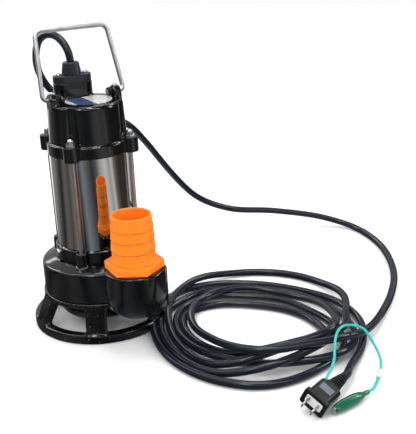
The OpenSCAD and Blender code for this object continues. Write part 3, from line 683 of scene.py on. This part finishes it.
softened("stand", 0.0012, 5, 0.5, "cast_speckled")
softened("volute_casing", 0.0012, 4, 0.5, "cast_iron_black")
softened("suction_cover", 0.0012, 4, 0.5, "cast_speckled")
softened("bearing_bracket", 0.0011, 3, 0.5, "cast_iron_black")
softened("top_cover", 0.0010, 3, 0.5, "cast_iron_black")
softened("discharge_elbow", 0.0010, 4, 0.5, "cast_iron_black")
softened("clamp_plate", 0.0006, 3, 0.6, "rubber_black")
softened("cable_boot", 0.0005, 3, 0.6, "rubber_black")
skins = [softened("plug_body", 0.0005, 3, 0.5, "plug_black"),
         softened("plug_face", 0.0004, 2, 0.5, "plug_white")]


# ---------------------------------------------------------------- pieces with finer shapes
def piece(name, bm, matrix, material, body, node=None, sharp=None):
    """A visible piece from a bmesh; sharp is the angle in degrees from which an edge stays hard."""
    bmesh.ops.recalc_face_normals(bm, faces=bm.faces)
    mesh = bpy.data.meshes.new(name)
    bm.to_mesh(mesh)
    bm.free()
    mesh.transform(matrix)
    mesh.shade_smooth()
    if sharp:
        mesh.set_sharp_from_angle(angle=math.radians(sharp))
    mesh.materials.append(look(material))
    o = in_scene(name, mesh)
    if body:
        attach(o, body)
    if node:
        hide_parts(node)
    return o


def strip(bm, a, b, sides):
    """Joins two rings of vertices all the way round; sides is which of their edges to join."""
    n = len(a)
    for k in sides:
        bm.faces.new((a[k], a[(k + 1) % n], b[(k + 1) % n], b[k]))


def lathed(bm, profile, angles):
    """A closed profile of (radius, height) carried round Z through the given angles."""
    rings = [[bm.verts.new((r * math.cos(a), r * math.sin(a), z)) for a in angles]
             for r, z in profile]
    for a, b in zip(rings, rings[1:] + rings[:1]):
        strip(bm, a, b, range(len(angles)))
    return rings


def hose_tail():
    """Barbed hose tail with an undercut behind each barb, on a hexagonal flange."""
    lo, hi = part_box("adapter_gasket")
    bm = bmesh.new()
    flare = [(29.3, 98.4), (29.6, 117.0), (29.3, 124.0), (28.7, 126.4), (28.0, 128.0),
             (27.2, 129.4), (26.8, 131.0), (26.6, 133.0)]
    barbs = []
    for foot, r0, r1 in zip(BARBS, (26.6, 26.0, 25.5), (27.35, 26.75, 26.15)):
        barbs += [(r0, foot - 1.0), (r0 - 0.5, foot - 0.35), (r0 - 0.55, foot + 0.05),
                  (r1 - 0.15, foot + 0.25), (r1, foot + 0.7), (r1 - 0.05, foot + 2.0)]
    tip = [(24.9, 175.4), (24.9, 182.6), (24.7, 183.3), (24.2, 183.75), (23.5, 183.9),
           (22.6, 183.85), (21.9, 183.5), (21.5, 182.8), (21.5, 98.4)]
    sides = 160
    lathed(bm, flare + barbs + tip, [2 * math.pi * k / sides for k in range(sides)])
    inner, corner, under, over, turn = 25.0, 36.8, 115.1, 125.1, 28
    flange = lathed(bm, ((inner, under), (corner, under), (corner, over), (inner, over)),
                    [math.radians(turn + 60 * k) for k in range(6)])
    outer = set(flange[1] + flange[2])
    rim = [e for e in bm.edges if e.verts[0] in outer and e.verts[1] in outer]
    bmesh.ops.bevel(bm, geom=rim, offset=0.9, segments=3, profile=0.5, affect="EDGES")
    place = Matrix.Translation(((lo.x + hi.x) / 2, (lo.y + hi.y) / 2, 0)) @ Matrix.Scale(MM, 4)
    piece("hose_tail_skin", bm, place, "orange_plastic", "pump",
          "hose_adapter", 40)


def clip_sleeve():
    """Soft boot of the earth clip, in two pieces: its body stays with the lower jaw; its lip is
    attached to no body.

    It is lathed about its own X from the nose to the lead. The lip is its upper side near the nose.
    """
    nose, turn = (0.100, -0.376, 0.0065), 6.4
    at = Matrix.Translation(nose) @ Matrix.Rotation(math.radians(turn), 4, "Z")
    profile = [(2.6, 3.6), (3.0, 4.3), (4.5, 4.75), (7, 5.15), (10, 5.6), (13, 5.95), (16, 6.2),
               (20, 6.4), (25, 6.4), (30, 6.4), (34, 6.3), (37, 5.9), (40, 5.35), (43, 4.8),
               (45, 4.3), (46.5, 3.6), (48, 3.05), (51, 2.8), (55, 2.6), (56, 2.2), (56, 1.7)]
    sides, lip_end, flat = 40, 20, 0.98
    angles = [2 * math.pi * k / sides for k in range(sides)]
    lip = range(2, sides // 2 - 2)
    rest = [k for k in range(sides) if k not in lip]
    sleeves = []
    for name, upper in (("clip_boot_skin", False), ("clip_boot_lip", True)):
        bm = bmesh.new()
        rings = []
        for x, r in profile:
            squash = flat if x < lip_end else 1.0
            rings.append([bm.verts.new((x, r * math.cos(a), r * math.sin(a) * squash))
                          for a in angles])
        for (x, _), a, b in zip(profile, rings, rings[1:]):
            if x < lip_end:
                strip(bm, a, b, lip if upper else rest)
            elif not upper:
                strip(bm, a, b, range(sides))
        for v in [v for v in bm.verts if not v.link_faces]:
            bm.verts.remove(v)
        body, node = (None, None) if upper else ("pump", "clip_boot")
        o = piece(name, bm, at @ Matrix.Scale(MM, 4), "boot_green", body, node)
        wall = o.modifiers.new("wall", "SOLIDIFY")
        wall.thickness = 0.0007
        wall.offset = -1
        thick = evaluated_mesh(o)
        o.modifiers.clear()
        thick.set_sharp_from_angle(angle=math.radians(40))
        o.data = thick
        if upper:
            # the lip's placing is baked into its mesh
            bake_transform(o)
        sleeves.append(o)
    return sleeves


def bail():
    """Bent rod handle: pin, low bend, leg, top bend and bar, drawn as one round rod."""
    pin, foot, top, high = 30.5, 55.3, 48.0, 85.5   # half widths at pin, foot and bar; height
    low_r, top_r, rod = 6.0, 9.0, 6.0               # the bends, and the rod's thickness
    lean, pivot = math.radians(16.5), 306.0         # backwards, about the holes in the ears
    slope = math.atan((foot - top) / high)
    low = (foot - low_r / math.cos(slope) - low_r * math.tan(slope), low_r)
    bar = (top - top_r / math.cos(slope) + top_r * math.tan(slope), high - top_r)
    half = [(pin, 0.0), (0.5 * (pin + low[0]), 0.0)]
    for (x, h), r, start, end, n in ((low, low_r, -math.pi / 2, slope, 14),
                                     (bar, top_r, slope, math.pi / 2, 16)):
        half += [(x + r * math.cos(a), h + r * math.sin(a)) for a in np.linspace(start, end, n)]
    line = half + [(-x, h) for x, h in reversed(half)]
    data = bpy.data.curves.new("bail_rod", "CURVE")
    data.dimensions = "3D"
    data.bevel_depth, data.bevel_resolution, data.use_fill_caps = rod / 2 * MM, 8, True
    spline = data.splines.new("POLY")
    spline.points.add(len(line) - 1)
    for p, (x, h) in zip(spline.points, line):
        p.co = (x * MM, h * math.sin(lean) * MM, (pivot + h * math.cos(lean)) * MM, 1)
    o = in_scene("bail_rod", data)
    mesh = evaluated_mesh(o)
    bpy.data.objects.remove(o)
    bm = bmesh.new()
    bm.from_mesh(mesh)
    piece("bail_rod_skin", bm, IDENTITY, "stainless_bright", "bail",
          "handle", 50)


hose_tail()
boots = clip_sleeve()
bail()


# ---------------------------------------------------------------- floor, light, surroundings
SKY = 1.12           # what the camera and matt surfaces see, a little over white
FLOOR_PAINTED_GLOW = 1.7     # strength of the banded room painted into the floor as a glow that only reflections see
WALLS = 0.9          # strength of the banded room in the world
TUBES = 8.0          # strength of the ceiling tubes over it


def floor():
    """A pale matt floor. In polished surfaces it glows as a painted reflection of a room: dim, in
    soft bands.
    """
    bm = bmesh.new()
    bmesh.ops.create_grid(bm, x_segments=8, y_segments=8, size=6.0)
    mesh = bpy.data.meshes.new("floor")
    bm.to_mesh(mesh)
    bm.free()
    o = in_scene("floor", mesh)
    o.location = (0.15, 0.0, -0.0004)
    k = Look("floor")
    k.colour(k.ramp(k.noise(0.4, 3), (0.3, (0.93, 0.93, 0.93)), (0.7, (0.95, 0.95, 0.95))))
    k.rough(k.noise(0.2, 3), 0.55, 0.65)
    k.bump(k.noise(0.004, 2), 0.00003)
    # painted reflection: to reflected rays the floor emits the banded room instead of its own
    # shading
    painted_room_glow = k.node("ShaderNodeEmission")
    k.link(k.banded(k.axis("X"), k.axis("Y")), painted_room_glow.inputs["Color"])
    painted_room_glow.inputs["Strength"].default_value = FLOOR_PAINTED_GLOW
    k.glossy_only(k.shader, painted_room_glow, k.tree.nodes["Material Output"])
    mesh.materials.append(k.mat)


def lamp(name, place, target, size, power):
    data = bpy.data.lights.new(name, "AREA")
    data.shape = "RECTANGLE"
    data.size, data.size_y = size
    data.energy = power
    o = in_scene(name, data)
    o.location = place
    o.rotation_euler = (Vector(target) - Vector(place)).to_track_quat("-Z", "Y").to_euler()


def surroundings():
    """A pale room: even to the camera; in reflections, dim with upright bands and ceiling tubes."""
    world = bpy.data.worlds.new("room")
    bpy.context.scene.world = world
    world.use_nodes = True
    w = Wiring(world.node_tree)
    w.tree.nodes.clear()
    coord, split = w.node("ShaderNodeTexCoord"), w.node("ShaderNodeSeparateXYZ")
    w.link(coord.outputs["Generated"], split.inputs["Vector"])
    x, y, z = split.outputs
    # the tubes hang in rows on a flat ceiling, aslant to X, and fade towards the horizon
    up = w.maths("MAXIMUM", z, 0.05)
    across = w.maths("ADD", w.maths("DIVIDE", x, up),
                     w.maths("MULTIPLY", w.maths("DIVIDE", y, up), 0.55))
    tube = w.span(w.maths("PINGPONG", w.maths("ADD", across, 0.35), 0.8), 0.13, 0.08)
    tube = w.maths("MULTIPLY", tube, w.span(z, 0.30, 0.42))
    plain, walls, tubes = [w.node("ShaderNodeBackground") for _ in range(3)]
    plain.inputs["Color"].default_value = (1.0, 1.0, 1.0, 1)
    plain.inputs["Strength"].default_value = SKY
    w.link(w.banded(x, y), walls.inputs["Color"])
    walls.inputs["Strength"].default_value = WALLS
    w.link(w.maths("MULTIPLY", tube, TUBES), tubes.inputs["Strength"])
    both = w.node("ShaderNodeAddShader")
    w.link(walls.outputs[0], both.inputs[0])
    w.link(tubes.outputs[0], both.inputs[1])
    w.glossy_only(plain, both, w.node("ShaderNodeOutputWorld"))


floor()
surroundings()
lamp("key", (-0.9, -0.9, 1.5), (0.05, 0, 0.15), (0.22, 0.6), 6)
lamp("top", (0.2, -0.1, 1.7), (0.15, -0.1, 0), (0.9, 0.10), 7)
lamp("side", (1.3, -0.7, 0.8), (0.1, 0, 0.15), (0.12, 0.8), 4)
lamp("back", (-0.6, 1.2, 1.0), (0.05, 0, 0.15), (0.2, 0.8), 5)
bpy.context.scene.view_settings.view_transform = "Standard"
